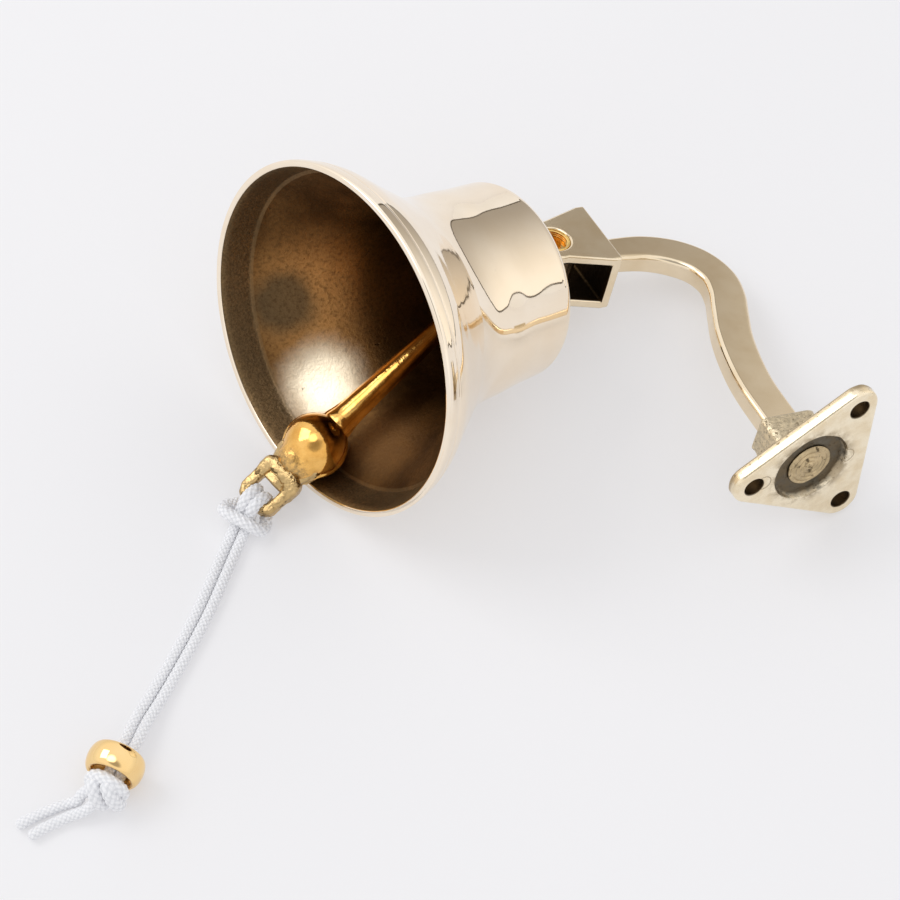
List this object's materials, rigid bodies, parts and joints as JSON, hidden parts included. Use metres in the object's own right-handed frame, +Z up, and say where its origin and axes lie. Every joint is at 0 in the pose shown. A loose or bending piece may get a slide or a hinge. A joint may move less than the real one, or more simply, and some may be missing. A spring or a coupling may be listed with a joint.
{
  "type": "ship bell",
  "caption": "Flared polished brass bell hung from a swan-neck wall bracket, with a swinging clapper and a white rope lanyard that ends in a sliding bead and a knot",
  "frame": {"origin": "on the table, under the middle of the metal parts' box; the lanyard is left out of that box", "axes": "+Z up from the table the bell lies on; +X from the mouth of the bell towards its crown; the wall bracket reaches towards -Y"},
  "size_m": [0.2608, 0.1562, 0.0949],
  "materials": {
    "bell_brass": "mirror polished outside, brown as-cast inside",
    "polished_brass": "polished",
    "rough_brass": "as cast, lightly linished",
    "golden_brass": "polished, deep golden",
    "fastener_brass": "turned, satin",
    "threaded_pin": "threaded, satin",
    "white_cord": "braided"
  },
  "bodies": {
    "bracket": {"wall_plate": "rough_brass", "bracket_arm": "polished_brass", "hanger_yoke": "polished_brass", "arm_rivet": "rough_brass", "hanger_pin": "threaded_pin"},
    "bell": {"bell_shell": "bell_brass", "crown_lug": "polished_brass", "crown_washer": "fastener_brass", "crown_nut": "fastener_brass", "clapper_staple": "golden_brass", "clapper_pin": "fastener_brass"},
    "striker": {"clapper": "golden_brass", "lanyard_hitch": "white_cord", "lanyard_strand_near": "white_cord", "lanyard_strand_far": "white_cord", "lanyard_knot": "white_cord", "lanyard_tail_upper": "white_cord", "lanyard_tail_lower": "white_cord"},
    "bead": {"lanyard_bead": "golden_brass"}
  },
  "joints": [
    {"name": "bell_swing", "type": "hinge", "parent": "bracket", "child": "bell", "pos_m": [0.03112, 0.02796, 0.02086], "axis": [0.3341, 0.0924, 0.938], "range_deg": [-57.65, 32.35]},
    {"name": "clapper_swing", "type": "hinge", "parent": "bell", "child": "striker", "pos_m": [0.00927, 0.02796, 0.02864], "axis": [0.0479, -0.9898, 0.1344], "range_deg": [-69.6, 0]},
    {"name": "bead_slide", "type": "slide", "parent": "striker", "child": "bead", "axis": [-0.8403, -0.5422, 0], "range_m": [-0.005, 0]}
  ]
}
